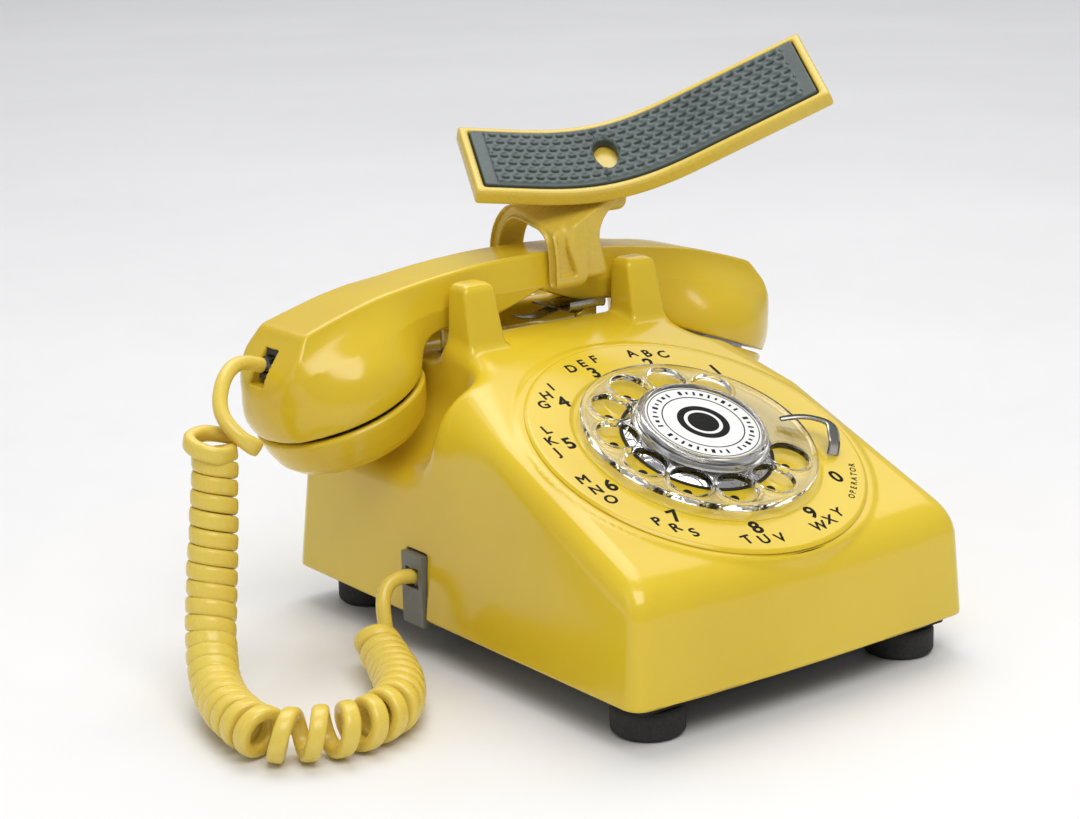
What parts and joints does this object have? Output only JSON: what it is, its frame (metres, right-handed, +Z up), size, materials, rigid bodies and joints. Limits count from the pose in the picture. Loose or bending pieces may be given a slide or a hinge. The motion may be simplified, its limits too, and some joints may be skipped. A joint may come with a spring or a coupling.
{
  "type": "desk telephone",
  "caption": "Desk telephone with a rotary dial under a clear finger wheel, a handset in a cradle, a coiled cord and a clip-on shoulder rest.",
  "frame": {"origin": "on the desk plane below the middle of the housing's footprint", "axes": "+X to the user's right along the handset, -Y towards the user past the dial, +Z up"},
  "size_m": [0.2699, 0.1918, 0.1923],
  "materials": {
    "yellow_plastic": "polished",
    "black_rubber": "matt",
    "steel": "plated",
    "chrome": "polished",
    "clear": "clear plastic",
    "brass": "plain",
    "white_card": "printed card",
    "grey_plastic": "satin",
    "dark_plastic": "matt",
    "copper": "enamelled wire",
    "foam": "textured foam rubber",
    "cord": "satin"
  },
  "bodies": {
    "base": {"base_cord_jack": "grey_plastic", "base_plate": "steel", "case_screw_front": "steel", "case_screw_rear": "steel", "cord_base_end": "cord", "cord_lying": "cord", "dial_frame": "steel", "finger_stop": "chrome", "foot_front_left": "black_rubber", "foot_front_right": "black_rubber", "foot_rear_left": "black_rubber", "foot_rear_right": "black_rubber", "gong_left": "brass", "gong_right": "brass", "governor_cup": "brass", "hook_contacts": "dark_plastic", "housing": "yellow_plastic", "line_jack": "grey_plastic", "network_block": "dark_plastic", "number_plate": "yellow_plastic", "ringer_coil": "copper", "ringer_frame": "steel"},
    "dial": {"finger_wheel": "clear", "card_retainer": "chrome", "number_card": "white_card", "dial_shaft": "brass"},
    "pulse_train": {"pulse_pinion": "brass"},
    "governor": {"governor_flyer": "brass"},
    "plunger_left": {"plunger_left": "clear"},
    "plunger_right": {"plunger_right": "clear"},
    "hook_lever": {"hook_lever": "steel"},
    "clapper": {"clapper": "steel"},
    "volume_wheel": {"volume_wheel": "grey_plastic"},
    "handset": {"handset_body": "yellow_plastic", "transmitter_cap": "yellow_plastic", "receiver_cap": "yellow_plastic", "transmitter_unit": "steel", "receiver_unit": "steel", "handset_jack": "grey_plastic", "rest_bracket": "yellow_plastic", "cord_hanging": "cord", "cord_handset_end": "cord"},
    "shoulder_rest": {"rest_tray": "yellow_plastic", "rest_pad": "foam"},
    "rest_clip": {"rest_clip": "steel", "clip_rivet": "steel"}
  },
  "joints": [
    {"name": "dial_turn", "type": "hinge", "parent": "base", "child": "dial", "pos_m": [0, -0.0402, 0.0707], "axis": [0, -0.3955, 0.9184], "range_deg": [-327, 0], "stiffness_Nm_per_rad": 0.004},
    {"name": "pulse_turn", "type": "hinge", "parent": "base", "child": "pulse_train", "pos_m": [-0.0312, -0.0402, 0.0707], "axis": [0, -0.3955, 0.9184], "range_deg": [0, 990]},
    {"name": "governor_turn", "type": "hinge", "parent": "base", "child": "governor", "pos_m": [-0.02, -0.06408, 0.06042], "axis": [0, -0.3955, 0.9184], "range_deg": [-2950, 0]},
    {"name": "handset_lift", "type": "slide", "parent": "base", "child": "handset", "axis": [0, 0, 1], "range_m": [0, 0.12]},
    {"name": "plunger_left_slide", "type": "slide", "parent": "base", "child": "plunger_left", "axis": [0, 0, 1], "range_m": [0, 0.005]},
    {"name": "plunger_right_slide", "type": "slide", "parent": "base", "child": "plunger_right", "axis": [0, 0, 1], "range_m": [0, 0.005]},
    {"name": "hook_lever_turn", "type": "hinge", "parent": "base", "child": "hook_lever", "pos_m": [0, 0.067, 0.062], "axis": [1, 0, 0], "range_deg": [-20, 0]},
    {"name": "clapper_swing", "type": "hinge", "parent": "base", "child": "clapper", "pos_m": [0, -0.033, 0.022], "axis": [0, 0, 1], "range_deg": [-6, 6], "stiffness_Nm_per_rad": 0.0005},
    {"name": "volume_turn", "type": "hinge", "parent": "base", "child": "volume_wheel", "pos_m": [0.031, 0, 0.014], "axis": [1, 0, 0], "range_deg": [-80, 80]},
    {"name": "clip_open", "type": "hinge", "parent": "handset", "child": "rest_clip", "pos_m": [0.017, 0.0366, 0.1016], "axis": [1, 0, 0], "range_deg": [-18, 0], "stiffness_Nm_per_rad": 0.05},
    {"name": "rest_swivel", "type": "hinge", "parent": "handset", "child": "shoulder_rest", "pos_m": [0.0325, 0.044, 0.1505], "axis": [-0.4429, -0.2583, 0.8585], "range_deg": [-20, 70]}
  ],
  "couplings": [
    {"joint": "pulse_turn", "follows": "dial_turn", "ratio": -3},
    {"joint": "governor_turn", "follows": "dial_turn", "ratio": 9},
    {"joint": "plunger_left_slide", "follows": "handset_lift", "ratio": 0.04},
    {"joint": "plunger_right_slide", "follows": "handset_lift", "ratio": 0.04},
    {"joint": "hook_lever_turn", "follows": "handset_lift", "rad_per_m": -2.8}
  ]
}
